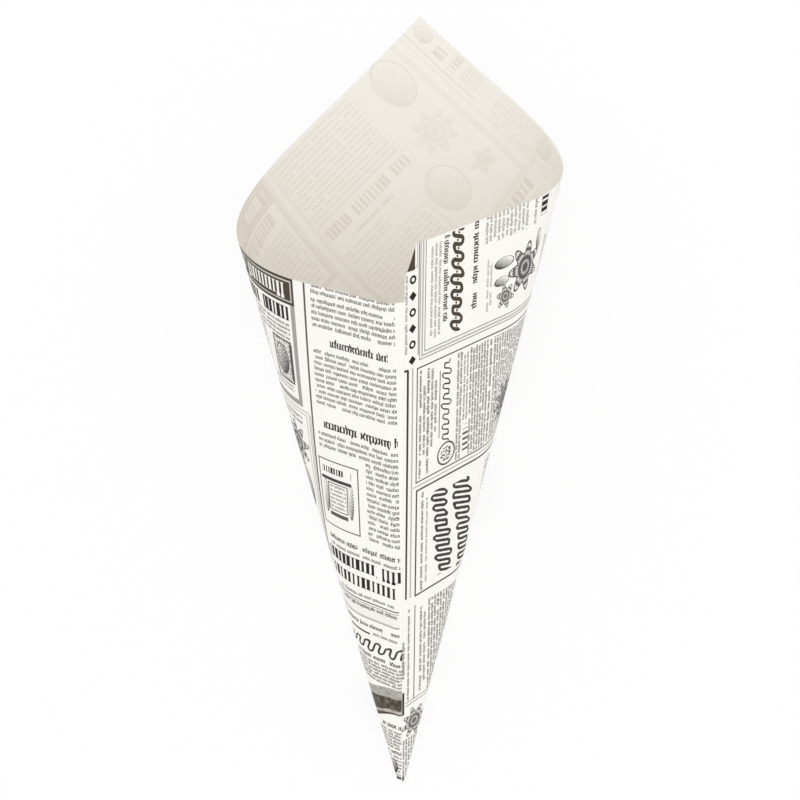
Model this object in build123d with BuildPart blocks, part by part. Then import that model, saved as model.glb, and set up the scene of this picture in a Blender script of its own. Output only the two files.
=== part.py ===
"""Paper cone bag: one rectangular sheet rolled to a point and glued down its front.

The bag lies on its back wall, as it comes to rest. The tip is towards -Y, the open mouth towards
+Y and the glued seam is on top. One corner of the sheet makes the tip, and the corner across from
it stands out past the mouth as the peak of the back wall. The origin is under the middle of the
bag, on the surface that it lies on. Lengths are in millimetres and angles in degrees.
"""

import os
from bisect import bisect_right
from math import acos, atan2, ceil, cos, degrees, radians, sin

from build123d import *

# The flat sheet
sheet_length = 252.0  # the flap's free edge, from the tip to the mouth
sheet_width = 231.0  # square across from that edge to the far one
paper_thickness = 0.15
lap_angle = 5.0  # how far the sheet runs on under the flap, seen from the tip
glue_bite = 0.03  # how deep the two layers of the lap sink into their glue
snip_length = 11.5  # cut off the flap's mouth corner, down the seam
snip_width = 5.0  # the same cut, along the mouth
tightest_roll = 1.4  # smallest outer radius at the tip, in paper thicknesses
tip_skew = 0.25  # how much further from the point the hidden edge starts

# The rolled form, across the bag at this distance from the point where its walls would meet
section_distance = 200.0
back_flat = 8.0  # strip of the back wall that lies flat
right_radius = 44.0
left_radius = 54.3
ridge_radius = 8.6
ridge_rise = 57.3  # middle of the ridge's curve, above the middle of the left side's
seam_turn = 56.0  # place of the seam on the ridge's curve, up from the right

# How closely the curves are followed
turn_per_strip = 4.0
steps_per_stretch = 60


def disc_point(centre, radius, turn):
    """Point on the edge of a disc that lies across the bag, at an angle up from +X."""
    return centre + Vector(cos(radians(turn)), 0, sin(radians(turn))) * radius


def tangent_turn(centre_a, radius_a, centre_b, radius_b):
    """Angle, up from +X, at which paper stretched clockwise from disc a to disc b leaves a."""
    span = centre_b - centre_a
    return degrees(atan2(span.Z, span.X) + acos((radius_a - radius_b) / span.length))


def bend(centre, radius, turn_from, turn_to):
    """Arc of paper that runs clockwise round a disc, from one angle to another."""
    turn_to -= 360 * ceil((turn_to - turn_from) / 360)
    turns = (turn_from, (turn_from + turn_to) / 2, turn_to)
    return ThreePointArc(*(disc_point(centre, radius, turn) for turn in turns))


# Across the bag, the paper is a band round three discs: a ridge on top and two round sides
ridge = Vector(0, section_distance, left_radius + ridge_rise)
right = Vector(back_flat / 2, section_distance, right_radius)
left = Vector(-back_flat / 2, section_distance, left_radius)
ridge_to_right = tangent_turn(ridge, ridge_radius, right, right_radius)
right_to_left = tangent_turn(right, right_radius, left, left_radius)
left_to_ridge = tangent_turn(left, left_radius, ridge, ridge_radius)

with BuildLine(Plane.XZ.offset(-section_distance)):
    seam_bend = bend(ridge, ridge_radius, seam_turn, ridge_to_right)
    right_flank = Line(seam_bend @ 1, disc_point(right, right_radius, ridge_to_right))
    right_bend = bend(right, right_radius, ridge_to_right, right_to_left)
    back_strip = Line(right_bend @ 1, disc_point(left, left_radius, right_to_left))
    left_bend = bend(left, left_radius, right_to_left, left_to_ridge)
    left_flank = Line(left_bend @ 1, disc_point(ridge, ridge_radius, left_to_ridge))
    ridge_bend = bend(ridge, ridge_radius, left_to_ridge, seam_turn)

stretches = [seam_bend, right_flank, right_bend, back_strip, left_bend, left_flank, ridge_bend]

# The section is walked once round from the seam, adding up the angle that the flat sheet opens
walked_angles = []
walked_places = []
closed_angle = 0.0
creases = []
for stretch in stretches:
    for step in range(steps_per_stretch):
        here = stretch @ (step / steps_per_stretch)
        ahead = stretch @ ((step + 1) / steps_per_stretch)
        walked_angles.append(closed_angle)
        walked_places.append((stretch, step, here.get_angle(ahead)))
        closed_angle += here.get_angle(ahead)
    creases.append(closed_angle)


def ruling(sheet_angle):
    """Straight line of the rolled sheet at an angle of the flat one: its direction and normal."""
    angle = sheet_angle % closed_angle
    index = bisect_right(walked_angles, angle) - 1
    stretch, step, step_angle = walked_places[index]
    share = (step + (angle - walked_angles[index]) / step_angle) / steps_per_stretch
    direction = (stretch @ share).normalized()
    return direction, (stretch % share).cross(direction).normalized()


back_angle = creases[stretches.index(right_bend)]
peak_angle = degrees(atan2(sheet_width, sheet_length))
snip_angle = degrees(atan2(snip_width, sheet_length))
tip_start = tightest_roll * paper_thickness * (seam_bend @ 0).length / ridge_radius


def reach(sheet_angle):
    """Distance from the point to the sheet's far edge: its snipped corner and two straight sides."""
    across = cos(radians(sheet_angle))
    up = sin(radians(sheet_angle))
    if sheet_angle < snip_angle:
        return (sheet_length - snip_length) * snip_width / (snip_width * across - snip_length * up)
    if sheet_angle < peak_angle:
        return sheet_length / across
    return sheet_width / up


def level(sheet_angle):
    """Height of the sheet's outer face over the section: the flap comes down a layer by the back."""
    return (paper_thickness - glue_bite) * max(1 - sheet_angle / back_angle, 0)


def bar(sheet_angle):
    """Cut through the sheet along one ruling, as a thin rectangle from the tip to the mouth."""
    direction, outward = ruling(sheet_angle)
    start = tip_start * (1 + tip_skew * sheet_angle / closed_angle)
    with BuildSketch(Plane((0, 0, 0), x_dir=direction, z_dir=direction.cross(outward))) as cut:
        with Locations((start, level(sheet_angle))):
            length = reach(sheet_angle) - start
            Rectangle(length, paper_thickness, align=(Align.MIN, Align.MAX))
    return cut.sketch


# Each run of the sheet between two creases or corners is lofted as a row of narrow straight strips
lap_end = closed_angle + lap_angle
breaks = sorted([0.0, snip_angle, peak_angle, *creases, closed_angle + creases[0], lap_end])

with BuildPart() as paper_cone:
    for run_start, run_end in zip(breaks, breaks[1:]):
        turn = ruling(run_start)[1].get_angle(ruling(run_end)[1])
        strips = max(ceil(turn / turn_per_strip), 1)
        strip_angle = (run_end - run_start) / strips
        loft([bar(run_start + strip_angle * strip) for strip in range(strips + 1)], ruled=True)

# The origin moves to under the middle of the bag
bounds = paper_cone.part.bounding_box()
cone = paper_cone.part.moved(Location((-bounds.center().X, -bounds.center().Y, -bounds.min.Z)))
cone.label = "paper_cone"

os.makedirs("parts", exist_ok=True)
export_step(cone, "parts/paper_cone.step")
print("closed angle", round(closed_angle, 2), "tip starts", round(tip_start, 2))
print("middle of the bag, seen from the point", bounds.center())
print("box", bounds.size, "volume", round(cone.volume, 1), "solids", len(cone.solids()))
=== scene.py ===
from math import atan2, ceil, pi, radians

import bpy
import numpy as np
from mathutils import Matrix, Vector


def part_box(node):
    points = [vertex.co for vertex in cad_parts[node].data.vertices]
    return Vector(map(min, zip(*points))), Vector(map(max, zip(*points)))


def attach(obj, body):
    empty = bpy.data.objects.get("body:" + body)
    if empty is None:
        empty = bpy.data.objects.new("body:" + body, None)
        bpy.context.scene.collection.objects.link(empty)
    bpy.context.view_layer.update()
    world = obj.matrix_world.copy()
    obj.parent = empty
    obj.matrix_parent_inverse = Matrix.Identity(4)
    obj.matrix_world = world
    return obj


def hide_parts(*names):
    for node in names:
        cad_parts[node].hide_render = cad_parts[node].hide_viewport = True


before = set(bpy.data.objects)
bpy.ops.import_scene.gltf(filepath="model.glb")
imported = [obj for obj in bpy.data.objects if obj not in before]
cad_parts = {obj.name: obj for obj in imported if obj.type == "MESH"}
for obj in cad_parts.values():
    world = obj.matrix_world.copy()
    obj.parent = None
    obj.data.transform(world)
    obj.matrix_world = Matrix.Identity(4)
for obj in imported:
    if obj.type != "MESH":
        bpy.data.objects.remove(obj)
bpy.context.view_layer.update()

# The printed sheet. The whole bag is one sheet of thin greaseproof paper, printed on one side. It
# is rolled to a point about one of its corners, and a line of glue holds the flap down over a
# narrow lap. Its sizes are in millimetres, as in the part's source.
sheet_length = 252.0  # the flap's free edge, from the tip to the mouth
sheet_width = 231.0
paper_thickness = 0.10
flap_lift = 0.12  # how far the flap's outer face stands over the lap's
lap_angle = radians(5.0)
snip_length = 11.5
snip_width = 5.0
tip_start = 5.7
tip_skew = 0.25
section_distance = 200.0  # from the point, where the outline across the bag is given
back_flat = 8.0
right_radius = 44.0
left_radius = 54.3
ridge_radius = 8.6
ridge_rise = 57.3
seam_turn = radians(56.0)


def outline_directions(count):
    """Unit directions from the bag's point to its outline, walked once round from the seam.

    Across the bag the paper is a band stretched clockwise round three circles: the ridge on top and
    the round right and left sides. Between two circles it follows their common tangent. Each arc
    and each straight gets the same count of points. Beside the directions it returns the angle of
    flat paper that each one is reached at: the sum of the small angles before it.
    """
    ridge = (0.0, left_radius + ridge_rise)
    centres = np.array([ridge, (back_flat / 2, right_radius), (-back_flat / 2, left_radius)])
    radii = np.array([ridge_radius, right_radius, left_radius])
    turns = [seam_turn]
    for here, ahead in ((0, 1), (1, 2), (2, 0)):
        span = centres[ahead] - centres[here]
        turn = np.arctan2(span[1], span[0]) + np.arccos((radii[here] - radii[ahead]) / np.hypot(*span))
        turns.append(turn - 2 * pi * ceil((turn - turns[-1]) / (2 * pi)))
    turns.append(seam_turn - 2 * pi)
    stretches = []
    for place, circle in enumerate((0, 1, 2, 0)):
        turn = np.linspace(turns[place], turns[place + 1], count)[:, None]
        arc = centres[circle] + radii[circle] * np.hstack([np.cos(turn), np.sin(turn)])
        if stretches:
            stretches.append(np.linspace(stretches[-1][-1], arc[0], count))
        stretches.append(arc)
    walked = np.insert(np.vstack(stretches), 1, section_distance, axis=1)
    walked /= np.linalg.norm(walked, axis=1)[:, None]
    return walked, np.insert(np.cumsum(np.linalg.norm(np.diff(walked, axis=0), axis=1)), 0, 0.0)


outline_points = 600
directions, walked_angles = outline_directions(outline_points)
closed_angle = walked_angles[-1]
creases = walked_angles[outline_points::outline_points]
back_angle = creases[2]
peak_angle = atan2(sheet_width, sheet_length)
snip_angle = atan2(snip_width, sheet_length)
lap_end = closed_angle + lap_angle


def direction_at(angle):
    """Unit direction of the rolled sheet's ruling at an angle of the flat one."""
    turned = np.mod(angle, closed_angle)
    found = np.stack([np.interp(turned, walked_angles, directions[:, axis]) for axis in range(3)], -1)
    return found / np.linalg.norm(found, axis=-1, keepdims=True)


def reach(angle):
    """Distance from the point to the sheet's far edge: its snipped corner and two straight sides."""
    across, up = np.cos(angle), np.sin(angle)
    snipped = (sheet_length - snip_length) * snip_width / (snip_width * across - snip_length * up)
    sides = np.minimum(sheet_length / np.maximum(across, 1e-6), sheet_width / np.maximum(up, 1e-6))
    return np.where(angle < snip_angle, snipped, sides)


def rolled(angle, distance, lift):
    """Place of a point of the sheet: its distance along its ruling, raised along the paper's normal.

    The normal is across the ruling and across the way the outline runs, which is found from the
    rulings a hair to each side.
    """
    hair = 1e-4
    ruling = direction_at(angle)
    normal = np.cross(direction_at(angle + hair) - direction_at(angle - hair), ruling)
    normal /= np.linalg.norm(normal, axis=-1, keepdims=True)
    return ruling * distance[..., None] + normal * lift[..., None]


def sag(angle, distance):
    """How far the soft paper gives inwards, in millimetres: long shallow waves, more at the mouth."""
    slack = np.clip(distance / sheet_length, 0, 1.3) ** 2
    along = np.sin(distance / 31.0 + 5.0 * angle) + np.sin(distance / 17.0 - 9.0 * angle + 1.3)
    round_it = np.sin(11.0 * angle + 0.6) + np.sin(23.0 * angle + distance / 90.0)
    return -0.16 * slack * (4.0 + along + round_it) / 4.0


column_step = radians(0.45)
turn_step = radians(5.0)
row_count = 128


def grid_angles():
    """Angles of the grid's columns: each corner and crease of the sheet, with even steps between."""
    breaks = [0.0, snip_angle, peak_angle, *creases, closed_angle, closed_angle + creases[0], lap_end]
    breaks = sorted(angle for angle in breaks if angle <= lap_end)
    columns = [np.array([0.0])]
    hair = 1e-5
    near_start, near_end = np.array([hair, 2 * hair]), np.array([-2 * hair, -hair])
    for run_start, run_end in zip(breaks, breaks[1:]):
        sides = direction_at(np.concatenate([run_start + near_start, run_end + near_end]))
        first = np.cross(sides[1] - sides[0], sides[0])
        last = np.cross(sides[3] - sides[2], sides[3])
        bend = np.arccos(np.clip(first @ last / np.linalg.norm(first) / np.linalg.norm(last), -1, 1))
        steps = max(ceil((run_end - run_start) / column_step), ceil(bend / turn_step), 1)
        columns.append(np.linspace(run_start, run_end, steps + 1)[1:])
    return np.concatenate(columns)


column_angles = grid_angles()
shares = np.linspace(0, 1, row_count)
angle, share = np.meshgrid(column_angles, shares, indexing="ij")
start = tip_start * (1 + tip_skew * angle / closed_angle)
distance = start + (reach(angle) - start) * share
level = flap_lift * np.maximum(1 - angle / back_angle, 0)
give = sag(np.mod(angle, closed_angle), distance)
outer = rolled(angle, distance, level + give)
inner = rolled(angle, distance, level + give - paper_thickness)

# The sheet is laid where the CAD solid lies: middle over middle, on the floor
plain = rolled(angle, distance, level).reshape(-1, 3)
node_low, node_high = (np.array(corner) * 1000 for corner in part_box("paper_cone"))
middle = (plain.min(axis=0) + plain.max(axis=0)) / 2
point_place = np.array([*((node_low + node_high) / 2 - middle)[:2], node_low[2]])


def grid_faces(first, rows, columns, flip):
    """Four-cornered faces of a grid of vertices numbered row by row from the first."""
    corner = first + np.arange(rows - 1)[:, None] * columns + np.arange(columns - 1)
    faces = np.stack([corner, corner + 1, corner + columns + 1, corner + columns], -1).reshape(-1, 4)
    return faces[:, ::-1] if flip else faces


def rim_faces(ring, layer):
    """Faces across the paper's thickness, along a closed ring of outer vertices."""
    ahead = np.roll(ring, -1)
    return np.stack([ring, ring + layer, ahead + layer, ahead], -1)


columns, rows = angle.shape
layer = columns * rows
numbers = np.arange(layer).reshape(columns, rows)
ring = np.concatenate([numbers[:-1, 0], numbers[-1, :-1], numbers[:0:-1, -1], numbers[0, :0:-1]])
outer_faces = grid_faces(0, columns, rows, True)
inner_faces = grid_faces(layer, columns, rows, False)
edge_faces = rim_faces(ring, layer)
vertices = (np.vstack([outer.reshape(-1, 3), inner.reshape(-1, 3)]) + point_place) / 1000
faces = np.vstack([outer_faces, inner_faces, edge_faces])

sheet_mesh = bpy.data.meshes.new("printed_sheet")
sheet_mesh.from_pydata(vertices.tolist(), [], faces.tolist())

# Flat-sheet coordinates, in millimetres from the rolled corner, become the sheet's UV map, which the
# export bakes through because of its name. The printed face fills the lower part of the map, the
# plain face a low band above it, and the cut edge a thin strip at the top.
flat_u_start, flat_u_span = -30.0, 285.0
face_v_span = 290.0
back_v_start, back_v_span = 0.81, 1283.0
flat_x = np.tile((distance * np.cos(angle)).reshape(-1), 2)
flat_y = np.tile((distance * np.sin(angle)).reshape(-1), 2)
edge_v_start, edge_v_span = 0.994, 0.005
corners = faces.reshape(-1)
on_face = np.repeat(np.arange(len(faces)) < len(outer_faces), 4)
map_u = (flat_x[corners] - flat_u_start) / flat_u_span
map_v = np.where(on_face, flat_y[corners] / face_v_span, back_v_start + flat_y[corners] / back_v_span)
edge_corners = slice(len(corners) - 4 * len(ring), None)
map_u[edge_corners] = (np.arange(len(ring))[:, None] + [0, 0, 1, 1]).ravel() / len(ring)
map_v[edge_corners] = np.tile([0, 1, 1, 0], len(ring)) * edge_v_span + edge_v_start
sheet_map = sheet_mesh.uv_layers.new(name="OFBake")
sheet_map.data.foreach_set("uv", np.stack([map_u, map_v], -1).astype(np.float32).ravel())
sheet_mesh.polygons.foreach_set("use_smooth", np.ones(len(faces), dtype=bool))
sheet_mesh.set_sharp_from_angle(angle=radians(50))
sheet_mesh.update()
sheet_mesh.validate()

printed_sheet = bpy.data.objects.new("printed_sheet", sheet_mesh)
bpy.context.collection.objects.link(printed_sheet)


class Ink:
    """A socket among the nodes of a material. Arithmetic on it adds Math nodes and gives their result.

    A mask is 1 on ink and 0 beside it: & keeps what is in both masks, and | what is in either.
    """

    def __init__(self, tree, socket=None):
        self.tree = tree
        self.socket = socket

    def node(self, kind, settings, sockets, output=0):
        """One output of a new node, after its settings are set and its sockets are filled."""
        made = self.tree.nodes.new(kind)
        for name, value in settings.items():
            setattr(made, name, value)
        for name, value in sockets.items():
            if isinstance(value, Ink):
                self.tree.links.new(value.socket, made.inputs[name])
            else:
                made.inputs[name].default_value = value
        return Ink(self.tree, made.outputs[output])

    def maths(self, operation, *values):
        return self.node("ShaderNodeMath", {"operation": operation}, dict(enumerate(values)))

    def __add__(self, other):
        return self.maths("ADD", self, other)

    def __sub__(self, other):
        return self.maths("SUBTRACT", self, other)

    def __rsub__(self, other):
        return self.maths("SUBTRACT", other, self)

    def __mul__(self, other):
        return self.maths("MULTIPLY", self, other)

    def __truediv__(self, other):
        return self.maths("DIVIDE", self, other)

    def __lt__(self, other):
        return self.maths("LESS_THAN", self, other)

    def __gt__(self, other):
        return self.maths("GREATER_THAN", self, other)

    def __and__(self, other):
        return self.maths("MULTIPLY", self, other)

    def __or__(self, other):
        return self.maths("MAXIMUM", self, other)

    def __abs__(self):
        return self.maths("ABSOLUTE", self)

    __radd__ = __add__
    __rmul__ = __mul__

    def near(self, middle, half):
        """Mask of where this value is within half of middle."""
        return self.maths("COMPARE", self, middle, half)

    def far(self, other):
        """How far off the middle a point is, from its distances this way and the other way."""
        return self.maths("SQRT", self * self + other * other)

    def cell(self):
        """The whole number below this value, and how far the value is past it."""
        whole = self.maths("FLOOR", self)
        return whole, self - whole

    def sine(self):
        return self.maths("SINE", self)


paper = bpy.data.materials.new("printed_paper")
paper.use_nodes = True
paper_tree = paper.node_tree
shader = paper_tree.nodes["Principled BSDF"]

# Places on the page, in millimetres: across it from the mouth's side, the way its lines are read,
# and up it from the flap's free edge
sheet_place = Ink(paper_tree).node("ShaderNodeUVMap", {"uv_map": "OFBake"}, {})
map_u = sheet_place.node("ShaderNodeSeparateXYZ", {}, {"Vector": sheet_place}, "X")
map_v = sheet_place.node("ShaderNodeSeparateXYZ", {}, {"Vector": sheet_place}, "Y")
band_gap = 0.005  # half the bare strip between the map's two bands
plain_side = map_v > back_v_start - band_gap
across = (sheet_length - flat_u_start) - map_u * flat_u_span
up = map_v * face_v_span
up = up + plain_side * ((map_v - back_v_start) * back_v_span - up)


def random_at(kind, at_x, at_y, sockets, output=0):
    """Random values over a plane: a number, or with output 1 a colour of three."""
    place = across.node("ShaderNodeCombineXYZ", {}, {"X": at_x, "Y": at_y})
    return across.node(kind, {"noise_dimensions": "2D"}, {"Vector": place, **sockets}, output)


def noise(at_x, at_y, scale=1.0, detail=0.0):
    """Soft random values, in lumps about as long as one over the scale."""
    return random_at("ShaderNodeTexNoise", at_x, at_y, {"Scale": scale, "Detail": detail})


def chance(at_x, at_y, output=0):
    """A separate random value for each pair of numbers."""
    return random_at("ShaderNodeTexWhiteNoise", at_x, at_y, {}, output)


def block(left, right, bottom, top):
    """Mask of an upright rectangle."""
    in_width = across.near((left + right) / 2, (right - left) / 2)
    return in_width & up.near((bottom + top) / 2, (top - bottom) / 2)


# Greeked writing, block by block. All blocks share one field of glyphs: each adds its own line
# pitch, lowest line and weight to the values that lay it out, and its middle if its lines are ragged.
layout = {"pitch": 0.0, "floor": 0.0, "weight": 0.0, "middle": 0.0, "narrow": 0.0, "ragged": 0.0}
capitals_weight = 1.1  # the other blocks' weights end at 1


def write(left, right, bottom, pitch, rows=1, weight=0.78, ragged=0.0, capitals=False):
    """Adds a block of greeked lines: where it lies, and how tall, dark and ragged its lines are.

    A heading in capitals fills its height, so its pitch is larger than its block and starts below it.
    It has a weight of its own, which makes its strokes plain upright bars.
    """
    inside = block(left, right, bottom, bottom + pitch * rows)
    if capitals:
        pitch *= 1.7
        bottom -= 0.12 * pitch
        weight = capitals_weight
    values = {"pitch": pitch, "floor": bottom, "weight": weight}
    if ragged:
        values.update({"middle": (left + right) / 2, "narrow": 2 / (right - left), "ragged": ragged})
    for name, value in values.items():
        layout[name] = inside.maths("MULTIPLY_ADD", inside, value, layout[name])


# On the flap, from the mouth to the tip: the first notice
write(11, 42, 0.0, 1.7, weight=0.6)
write(1, 41, 12.8, 2.1, 3, 0.45, 0.15)
write(1, 35, 19.3, 4.2, weight=0.95)
write(0, 35, 35.6, 4.8, weight=1.0)
write(-1, 11.3, 42.6, 2.35, 11, 0.5, 0.2)
write(16, 40, 44.3, 1.9, 2, 0.3, 0.35)
write(0, 10.5, 71.5, 2.8, weight=0.6)
write(0, 8.5, 76.0, 6.5, capitals=True)
# The second notice
write(50.8, 97.6, 7.6, 2.0, weight=1.0)
write(58, 88, 9.8, 1.79, weight=0.9)
write(51.5, 97, 11.7, 2.3, weight=1.0)
write(52.5, 86, 14.1, 1.79, weight=0.9)
write(58, 80, 16.1, 1.79, weight=0.9)
write(51, 98, 28.8, 1.7, 2, 0.9)
write(52, 84, 32.5, 1.7, 2, 0.8, 0.1)
write(51, 98, 36.2, 1.6, 7, 0.95)
write(51.5, 97.5, 47.6, 2.3, weight=1.0)
write(51, 71, 50.2, 1.6, 16, 0.95)
write(71, 97.5, 50.2, 1.6, 2, 0.9)
# The third notice
write(104.5, 151, 9.4, 2.3, weight=0.9)
write(108, 148, 12.3, 1.8, weight=0.6)
write(105, 149, 50.0, 2.1, 5, 0.8, 0.1)
# The column after it, down to the tip
write(157.5, 204, 14.8, 1.75, 11, 0.95)
write(157.5, 204, 9.6, 2.3, 2, 0.85, 0.3)
write(157, 203.5, 2.6, 1.9, weight=0.95)
write(172, 191, -0.8, 2.6, weight=1.0)
write(224, 248, 0.4, 1.6, 9, 0.95)
# On the left of the seam, the page's last column
write(217, 254, 227.2, 2.5, 2)
write(217, 254, 213.7, 2.55, 5)
write(224.5, 251, 206.2, 5.2, weight=1.0)
write(217, 254, 181.0, 2.42, 10)
write(219.5, 254, 170.2, 6.0, weight=1.0)
write(217, 254, 162.0, 2.6, 3)
write(239.5, 254, 125.6, 2.6, 14)
write(218.5, 254, 118.8, 3.6, weight=0.95)
write(219, 254, 115.7, 2.5)
write(216, 254, 108.6, 6.4, capitals=True)
write(216, 254, 100.6, 6.4, capitals=True)
write(222, 251, 96.5, 2.4, weight=0.8)
write(222, 252, 91.4, 2.7, weight=0.95)
write(218, 253, 82.2, 3.0, weight=1.0)
write(240, 252, 79.2, 2.4, weight=0.8)
write(230, 254, 66.7, 3.2, weight=1.0)
write(218, 254, 56.0, 1.75, 6, 0.9)
write(243, 254, 33.6, 3.6, weight=1.0)
write(226, 254, 23.0, 1.7, 6, 0.9)
write(230, 254, 19.8, 2.8, weight=1.0)
write(244, 254, 6.5, 1.9, 7, 0.95)
write(217.5, 232.5, 150.8, 3.4, capitals=True)
write(221.2, 229.4, 135.3, 1.9, 6, 0.6)
# The box beside it, which the left side's curve hides in part
write(114, 206, 221.9, 6.6, capitals=True)
write(116, 205, 211.6, 7.2, capitals=True)
write(176, 205, 203.8, 2.0, 4, 0.85)
write(186, 204, 180.6, 1.8, 2, 0.6)
write(114, 136, 180.5, 2.4, 12, 0.5, 0.1)
write(141, 184, 181.5, 2.2, 10)
# The back of the bag
write(50, 102, 196.0, 2.4, 14)
write(50, 102, 187.4, 6.4, capitals=True)
write(66, 92, 182.6, 3.0, weight=0.9)
write(74, 104, 174.0, 2.3, 3, 0.45, 0.2)
write(60, 102, 152.4, 2.4, 7, 0.5, 0.1)
write(19, 104, 132.0, 8.4, capitals=True)
write(19, 60, 84.0, 2.4, 19)
write(63, 104, 84.0, 2.4, 19)
write(114, 152, 84.0, 2.4, 28)
write(114, 152, 154.0, 7.0, capitals=True)
write(1, 9, 188.0, 1.9, 6, 0.95)
write(1, 9, 201.0, 5.2, capitals=True)
write(1, 9, 208.4, 7.6, capitals=True)
write(160, 186, 92.0, 2.4, 14)
write(160, 207, 167.0, 2.4, 2)
write(1, 13, 96.0, 2.4, 34, 0.4)

# Each line is a row of upright strokes that look like small print and spell nothing. Chance bows a
# stroke, makes it tall or deep, and ties it to the next one. Slow random values set the word gaps.
# The smallest dark lines nearly fill their height, as close-set print does. Sizes are in line pitches.
strokes_per_pitch = 4.4
stroke_middle = 0.45
half_height = 0.24
dense_extra = 0.06
words_per_pitch = 0.42
word_unevenness = 1.3
gap_share = 0.13
row, height = ((up - layout["floor"]) / layout["pitch"]).cell()
line_seed = row + layout["floor"] * 0.37
along = across / layout["pitch"]
stroke, past = (along * strokes_per_pitch).cell()
stroke_chance = chance(stroke, line_seed * 3.1, 1)
bow, size, tie = (across.node("ShaderNodeSeparateColor", {}, {"Color": stroke_chance}, part)
                  for part in range(3))
dense = (layout["pitch"] < 1.8) & (layout["weight"] > 0.85)
middle = (height - stroke_middle) / (dense * dense_extra + half_height)
capital = layout["weight"] > (1 + capitals_weight) / 2
bowed = past - 0.5 + (bow - 0.5) * (middle * middle - 0.5) * (0.9 - capital * 0.9)
serif = (tie - 0.65) * 0.26 + (abs(middle) > 0.84) * 0.12
half_stroke = 0.2 + layout["weight"] * 0.12 + serif * capital
stroke_top = (size > 0.8) * (0.9 - capital * 0.9) + 1
stem = (abs(bowed) < half_stroke) & (middle < stroke_top) & (middle > (size < 0.1) * -0.7 - 1)
bar = abs(middle).near(0.8, 0.2) & (middle * (tie - 0.5) > 0) & (abs(tie - 0.5) > 0.1) & (1 - capital)
word_drift = noise(along * 0.33, line_seed * 7.3) * word_unevenness
in_word = (along * words_per_pitch + word_drift).cell()[1] > gap_share
shortened = 1 - layout["ragged"] * chance(row, layout["floor"])
kept = abs(across - layout["middle"]) * layout["narrow"] < shortened
writing = (stem | bar) & in_word & kept & (layout["weight"] > 0)
writing_ink = writing & (0.7 + layout["weight"] * 0.27)

# Flourishes, where the page's display lines are, share one field of brush strokes in the same way
brush = {"base": 0.0, "tall": 0.0, "loop": 1.0, "width": 0.0}


def sweep(left, right, base, tall, loop, width, climb=0.0):
    """Adds a flourish: its middle line, half height, width of a turn, brush width and slope."""
    line = (across - left) * climb + base
    inside = across.near((left + right) / 2, (right - left) / 2) & (up - line).near(0.0, tall * 1.6)
    for name, value in (("base", line), ("tall", tall), ("loop", loop - 1.0), ("width", width)):
        brush[name] = inside.maths("MULTIPLY_ADD", inside, value, brush[name])
    return inside


brown_flourish = sweep(0.5, 41.5, 27.6, 2.7, 3.1, 1.65)
sweep(51.5, 87.0, 23.0, 2.1, 2.2, 0.7)
sweep(107.0, 148.5, 19.8, 4.2, 2.5, 1.49, 0.12)
sweep(108.5, 150.0, 33.0, 4.6, 2.6, 1.49, 0.12)
sweep(226.5, 254.0, 73.6, 2.3, 2.7, 1.05)

# Each is a leaning wave of half circles joined by upright legs. The broad one has a dot in each turn.
# Slow random values make a wave taller and lower, and swell its brush.
lean = 0.35
rise = up - brush["base"]
turn, past = ((across - rise * lean) / brush["loop"]).cell()
side = abs(past - 0.5) * brush["loop"]
radius = brush["loop"] * 0.5
tall = brush["tall"] * (noise(across / brush["loop"], brush["base"], 0.55) * 0.9 + 0.5)
straight = tall - radius
beyond = (abs(rise) - straight).maths("MAXIMUM", abs(rise) - straight, 0.0)
upward = (turn.maths("FLOORED_MODULO", turn, 2.0) * 2 - 1) * rise
wave_side = radius + ((upward > 0) * 2 - 1) * (side - radius)
wave = abs(wave_side.far(beyond) - radius) < brush["width"] * (0.42 + noise(across, up, 0.4) * 0.16)
dot = (side.far(upward + tall * 0.1) < radius - brush["width"] * 0.62) & (brush["width"] > 1.5)
flourish = (wave | dot) & (brush["width"] > 0)


def frame_lines(left, right, bottom, top, lines):
    """Lines along a rectangle, each given by its place outside the edge, its width and its ink."""
    past_side = abs(across - (left + right) / 2) - (right - left) / 2
    past_edge = past_side | (abs(up - (bottom + top) / 2) - (top - bottom) / 2)
    lines_ink = 0.0
    for offset, width, strength in lines:
        lines_ink = past_edge.near(offset, width / 2) * strength + lines_ink
    return lines_ink


def rosette(middle_across, middle_up, radius, petals, strength):
    """An engraved flower: its edge swings with the cosine of the petals' angle, and rays shade it."""
    side, rise = across - middle_across, up - middle_up
    out = side.far(rise) / radius
    turn = side.maths("ARCTAN2", rise, side)
    edge = (turn * petals).sine() * 0.2 + 0.78
    shade = ((turn * (petals * 7)).sine() + (out * 21.0).sine() > out * 1.7 - 1.5) | (out > edge - 0.09)
    return (out < edge) & shade & strength


def hatched_oval(middle_across, middle_up, half_across, half_up, strength):
    """An oval shaded with slanting lines that crowd towards its lower right."""
    side, rise = (across - middle_across) / half_across, (up - middle_up) / half_up
    out = side * side + rise * rise
    return (out < 1) & ((((across + up) * 4.2).sine() > rise - side) | (out > 0.84)) & strength


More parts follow.
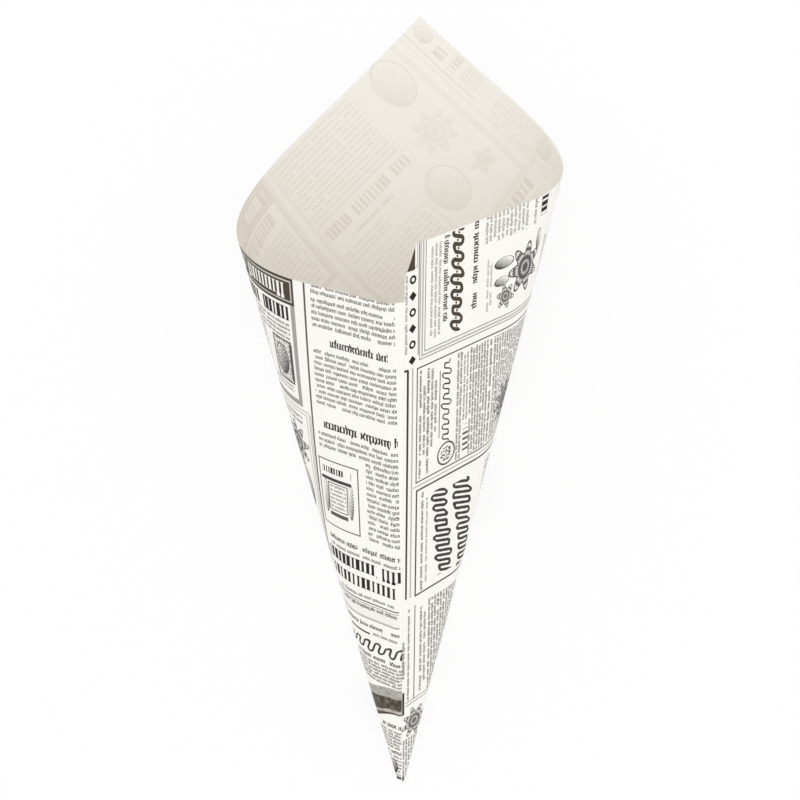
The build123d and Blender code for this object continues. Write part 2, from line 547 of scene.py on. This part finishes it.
# Rules, and frames whose lines are listed from the inside out, thin ones dark and wide ones grey
drawn = flourish * 0.96
for left, right, bottom, top, strength in (
        (213.6, 214.5, 88.0, 244.0, 0.9), (212.7, 213.2, 86.0, 174.0, 0.5),
        (108.7, 109.3, 82.0, 232.0, 0.7), (110.1, 111.1, 82.0, 232.0, 0.45),
        (-2.0, 44.0, 6.65, 7.15, 0.85), (-2.0, 9.0, 5.7, 6.1, 0.55), (8.6, 9.0, 0.0, 6.0, 0.6),
        (48.5, 151.5, 3.7, 4.5, 0.5), (48.5, 151.1, 1.1, 2.1, 0.97), (48.2, 49.2, -0.1, 1.7, 0.97),
        (10.6, 11.3, 186.0, 231.0, 0.8), (13.2, 13.7, 140.0, 231.0, 0.6), (100.3, 100.9, 5.0, 65.0, 0.5),
        (156.5, 204.5, 6.7, 7.3, 0.85), (198.0, 210.0, 0.1, 1.3, 0.97),
        (204.2, 204.7, 2.0, 24.0, 0.7), (205.9, 206.4, 2.0, 24.0, 0.7),
        (213.0, 253.0, 95.1, 95.7, 0.9), (213.0, 253.0, 93.95, 94.4, 0.6),
        (213.0, 253.0, 86.9, 87.9, 0.5), (55.0, 84.0, 19.0, 19.5, 0.85),
        (226.5, 238.5, 79.2, 80.1, 0.95), (203.4, 205.2, 186.0, 202.0, 0.9),
        (194.0, 204.0, 119.5, 123.0, 0.9), (217.0, 232.0, 147.9, 149.4, 0.95),
        (213.0, 253.0, 87.9, 93.9, 0.06), (220.5, 230.0, 131.5, 133.3, 0.9),
        (249.6, 252.4, 6.0, 8.4, 0.9), (243.8, 246.0, 0.3, 1.7, 0.8)):
    drawn = drawn | (block(left, right, bottom, top) & strength)
for left, right, bottom, top, lines in (
        (-40.0, 43.6, 10.4, 140.0, ((0.0, 0.4, 0.8), (1.4, 0.9, 0.45), (2.7, 0.4, 0.8))),
        (49.6, 98.8, 6.6, 77.0, ((0.0, 0.6, 0.9),)), (102.6, 152.0, 7.0, 63.0, ((0.0, 0.8, 0.95),)),
        (216.0, 235.5, 126.5, 157.0, ((0.0, 0.55, 0.9),)), (220.5, 230.0, 134.5, 147.0, ((0.0, 0.5, 0.85),)),
        (112.5, 206.4, 178.6, 229.5, ((1.2, 2.3, 0.62),)), (192.0, 204.5, 185.0, 203.0, ((0.0, 0.8, 0.9),)),
        (157.0, 210.5, 86.0, 173.0, ((0.0, 0.5, 0.5), (1.6, 0.5, 0.55))),
        (17.8, 104.6, 143.4, 260.0, ((0.0, 0.5, 0.8), (-1.3, 0.6, 0.6))),
        (57.5, 104.0, 150.6, 171.5, ((0.0, 0.4, 0.6), (-1.1, 0.3, 0.5))),
        (48.6, 103.4, 194.6, 260.0, ((0.0, 0.3, 0.55),))):
    drawn = drawn | frame_lines(left, right, bottom, top, lines)

# Pictures: flowers with leaves, and shaded ovals, drawn as a page's engravings are
for middle_across, middle_up, radius, petals, strength in (
        (27.0, 68.0, 11.0, 7, 0.9), (35.5, 56.0, 5.5, 6, 0.85), (84.0, 64.0, 11.5, 12, 0.85),
        (199.0, 156.0, 11.0, 9, 0.85), (33.0, 190.0, 11.0, 8, 0.5), (28.0, 164.0, 6.5, 5, 0.6),
        (134.0, 66.0, 14.0, 10, 0.8), (216.5, 7.5, 8.0, 8, 0.85)):
    drawn = drawn | rosette(middle_across, middle_up, radius, petals, strength)
for middle_across, middle_up, half_across, half_up, strength in (
        (199.0, 135.0, 9.0, 12.0, 0.8), (30.0, 218.5, 8.6, 12.6, 0.7), (47.0, 168.0, 9.0, 12.0, 0.6),
        (197.8, 194.0, 4.6, 6.8, 0.9), (219.0, 140.0, 1.4, 8.0, 0.8), (231.8, 141.0, 1.3, 8.5, 0.8),
        (5.0, 224.0, 3.4, 4.8, 0.95), (5.5, 138.0, 3.6, 7.0, 0.95), (248.2, 13.2, 2.4, 4.0, 0.97),
        (21.2, 54.6, 2.4, 5.8, 0.95), (28.6, 53.4, 2.0, 4.4, 0.9), (18.2, 77.4, 4.6, 2.0, 0.9)):
    drawn = drawn | hatched_oval(middle_across, middle_up, half_across, half_up, strength)

# A row of printer's ornaments, solid lozenges and open rings in turn, and a round seal
ornament_start, ornament_step = 10.0, 6.4
turn, past = ((across - ornament_start) / ornament_step).cell()
side, rise = abs(past - 0.5) * ornament_step, abs(up - 3.8)
solid_turn = turn.maths("FLOORED_MODULO", turn, 2.0)
ornament = (solid_turn & (side + rise < 1.9)) | ((1 - solid_turn) & side.far(rise).near(1.25, 0.45))
seal_out = (across - 92.3).far(up - 23.6)
seal = seal_out.near(4.8, 0.4) | ((seal_out < 3.3) & (noise(across, up * 0.8, 1.3) > 0.5))
drawn = drawn | (block(10.0, 48.4, 1.5, 6.0) & ornament) | (seal & 0.9)

# A short run of bars in the second notice
drawn = drawn | (block(85.4, 95.2, 33.0, 36.4) & ((across * 2.6).sine() > 0.2) & 0.9)

# Stippled grounds behind the small pictures
stippled = block(71.0, 98.0, 53.0, 76.5) | block(192.0, 204.5, 185.0, 203.0)
drawn = drawn | (stippled & (noise(across, up, 1.5) > 0.53) & 0.75)

# A hillside: two parabolas bound it, and a pale path follows a third
hill_bow = (sheet_length - across) * (sheet_length - across)
hill_top = up + hill_bow * 0.014
hill = (hill_top < 55.5) & (up + hill_bow * 0.033 > 42.0) & (across > 221)
hill_path = (up + hill_bow * 0.024).near(43.6, 0.8) * 0.4
hill_shade = noise(across, up, 0.45, 3.0) * 0.5 + 0.72 - hill_path - (hill_top > 50.5) * 0.36

# The title band, the first flourish, the hillside and the flap's corner are brown. The band has a
# pale double border, and its heading is left white.
border = block(112.0, 207.6, 220.9, 229.9) - block(112.0, 206.9, 221.5, 229.2)
band = block(112.0, 208.6, 219.8, 240.0)
solid = (band & (1 - writing_ink) & (1 - border * 0.55)) | (brown_flourish & flourish) | (hill & hill_shade)
solid = solid | block(-1.0, 9.6, -1.0, 4.7)
ink = (writing_ink | drawn) & (1 - band)


def mix(share, first, second):
    """Colour that goes from the first to the second as share goes from 0 to 1."""
    return across.node("ShaderNodeMix", {"data_type": "RGBA"}, {0: share, 6: first, 7: second}, 2)


# Paper and ink. The pulp is a little cloudy, with fibres along the sheet. The print shows through
# the plain side faintly, as in thin greaseproof paper.
black_ink = (0.012, 0.010, 0.007, 1)
brown_ink = (0.066, 0.049, 0.030, 1)
ink_shown_through = (0.775, 0.725, 0.655, 1)
cloud = noise(across, up, 0.12, 3.0)
fibre = noise(across * 0.5, up * 2.2, 1.0, 4.0)
pulp = cloud * 0.5 + fibre * 0.5
printed_face = mix(pulp, (0.965, 0.948, 0.905, 1), (0.93, 0.908, 0.855, 1))
printed_face = mix(ink, printed_face, black_ink)
printed_face = mix(solid, printed_face, brown_ink)
plain_face = mix(pulp, (0.90, 0.867, 0.805, 1), (0.862, 0.825, 0.76, 1))
plain_face = mix(ink | solid, plain_face, ink_shown_through)
paper_tree.links.new(mix(plain_side, printed_face, plain_face).socket, shader.inputs["Base Color"])
paper_tree.links.new((0.62 + fibre * 0.16 - solid * 0.08).socket, shader.inputs["Roughness"])
crinkle = noise(across, up, 0.045, 2.0) * 2.0 + fibre * 0.12
shader.inputs["Specular IOR Level"].default_value = 0.25
relief = crinkle.node("ShaderNodeBump", {}, {"Height": crinkle, "Strength": 0.35, "Distance": 0.001})
paper_tree.links.new(relief.socket, shader.inputs["Normal"])
sheet_mesh.materials.append(paper)

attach(printed_sheet, "root")
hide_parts("paper_cone")

# The studio: a pale floor, which the camera sees as nearly white and which keeps the bag's shadow,
# an even sky and one large soft lamp.
bpy.ops.mesh.primitive_plane_add(size=6.0, location=(0, 0, 0))
floor = bpy.context.active_object
floor.name = "studio_floor"
floor_paint = bpy.data.materials.new("floor_paint")
floor_paint.use_nodes = True
floor_tree = floor_paint.node_tree
ray = Ink(floor_tree)
seen = ray.node("ShaderNodeLightPath", {}, {}, "Is Camera Ray")
for kind in ("Is Glossy Ray", "Is Transmission Ray"):
    seen = seen | ray.node("ShaderNodeLightPath", {}, {}, kind)
matt = ray.node("ShaderNodeBsdfDiffuse", {}, {"Color": (0.93, 0.93, 0.93, 1)})
glow = ray.node("ShaderNodeEmission", {}, {"Strength": 1.0})
glow_share = 0.84
surface = ray.node("ShaderNodeMixShader", {}, {0: seen * glow_share, 1: matt, 2: glow})
floor_tree.links.new(surface.socket, floor_tree.nodes["Material Output"].inputs["Surface"])
floor.data.materials.append(floor_paint)

world = bpy.data.worlds.new("studio_sky")
bpy.context.scene.world = world
world.use_nodes = True
world.node_tree.nodes["Background"].inputs["Color"].default_value = (1, 1, 1, 1)
world.node_tree.nodes["Background"].inputs["Strength"].default_value = 0.965

lamp_data = bpy.data.lights.new("soft_lamp", "AREA")
lamp_data.shape = "SQUARE"
lamp_data.size = 1.6
lamp_data.energy = 3.0
lamp = bpy.data.objects.new("soft_lamp", lamp_data)
lamp.location = (0.25, 0.25, 1.5)
lamp.rotation_euler = lamp.location.to_track_quat("Z", "Y").to_euler()
bpy.context.collection.objects.link(lamp)

# The camera looks down on the lying bag, nearly straight, as the photograph shows it. Its lens, turn
# and place, in millimetres from the bag's point, were fitted together with the sheet's sizes.
camera_data = bpy.data.cameras.new("photo_camera")
camera_data.lens = 63.32
camera_data.sensor_width = 36.0
camera = bpy.data.objects.new("photo_camera", camera_data)
camera_right = Vector((0.99680, 0.02688, -0.07522))
camera_up = Vector((-0.02263, 0.99813, 0.05674))
camera_back = camera_right.cross(camera_up)
turned = Matrix((camera_right, camera_up, camera_back)).transposed().to_4x4()
camera_from_point = np.array([42.37, 136.14, 616.84])
camera.matrix_world = Matrix.Translation(Vector((camera_from_point + point_place) / 1000)) @ turned
bpy.context.collection.objects.link(camera)
bpy.context.scene.camera = camera

bpy.context.scene.view_settings.view_transform = "Standard"
